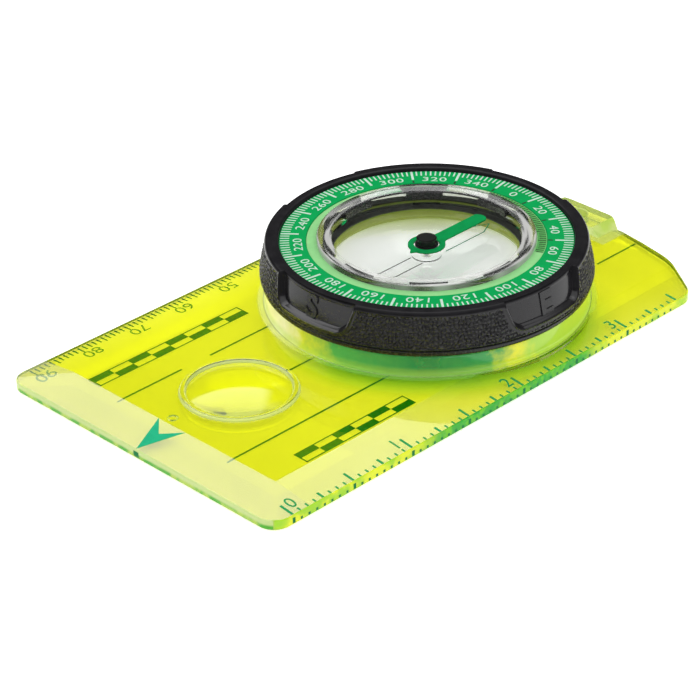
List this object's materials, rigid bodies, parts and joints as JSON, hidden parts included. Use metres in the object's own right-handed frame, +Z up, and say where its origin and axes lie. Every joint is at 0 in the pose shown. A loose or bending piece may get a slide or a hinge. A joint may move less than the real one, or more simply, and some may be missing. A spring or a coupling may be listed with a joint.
{
  "type": "baseplate compass",
  "caption": "Clear baseplate compass with printed map scales, a round magnifier, a turning dial bezel and a fluid-filled capsule with a pivoting needle.",
  "frame": {"origin": "centre of the object's footprint rectangle, in the plane of the plate's underside; the bezel's turning axis is at x 0, y -11.725 mm", "axes": "+Y is the direction of travel (the arrow end of the plate), +X is the side with the millimetre scale, +Z is up, out of the dial"},
  "size_m": [0.0622, 0.1066, 0.0141],
  "materials": {
    "clear_plate": "gloss, clear fluorescent yellow-green acrylic",
    "clear_ring": "gloss, clear fluorescent yellow-green acrylic",
    "clear_capsule": "gloss, clear colourless acrylic",
    "black_bezel": "satin, pebble grain on the grips",
    "black_gloss": "smooth semi-gloss",
    "dark_rubber": "matt",
    "green_dial": "satin",
    "light_green_dial": "satin",
    "needle_green": "satin",
    "steel_pin": "polished",
    "magnet_black": "dark sintered magnet",
    "jewel": "polished"
  },
  "bodies": {
    "plate": {"baseplate": "clear_plate", "bezel_friction_ring": "dark_rubber"},
    "bezel": {"bezel_grip_ring": "black_bezel", "bezel_lower_ring": "black_gloss", "bezel_sleeve": "black_gloss", "dial_ring": "green_dial", "bezel_retaining_ring": "clear_ring"},
    "capsule": {"declination_ring": "light_green_dial", "capsule_tab_ring": "black_gloss", "capsule_cover": "clear_capsule", "capsule_seal": "dark_rubber", "capsule_base": "clear_capsule", "capsule_fill_plug": "clear_capsule", "pivot_post": "clear_capsule", "pivot_pin": "steel_pin"},
    "hub": {"hub_collar": "black_gloss", "hub_trunnions": "steel_pin", "hub_magnet": "magnet_black", "hub_cap": "black_gloss", "jewel_bearing": "jewel"},
    "needle": {"needle_pointer": "needle_green"}
  },
  "joints": [
    {"name": "bezel_rotation", "type": "hinge", "parent": "plate", "child": "bezel", "pos_m": [0, -0.01172, 0.0062], "axis": [0, 0, 1], "continuous": true},
    {"name": "declination_adjust", "type": "hinge", "parent": "bezel", "child": "capsule", "pos_m": [0, -0.01172, 0.0128], "axis": [0, 0, 1], "range_deg": [-50, 50]},
    {"name": "needle_swing", "type": "hinge", "parent": "capsule", "child": "hub", "pos_m": [0, -0.01172, 0.01062], "axis": [0, 0, 1], "continuous": true},
    {"name": "needle_tilt", "type": "hinge", "parent": "hub", "child": "needle", "pos_m": [0, -0.01172, 0.009], "axis": [1, 0, 0], "range_deg": [-12, 12]}
  ]
}
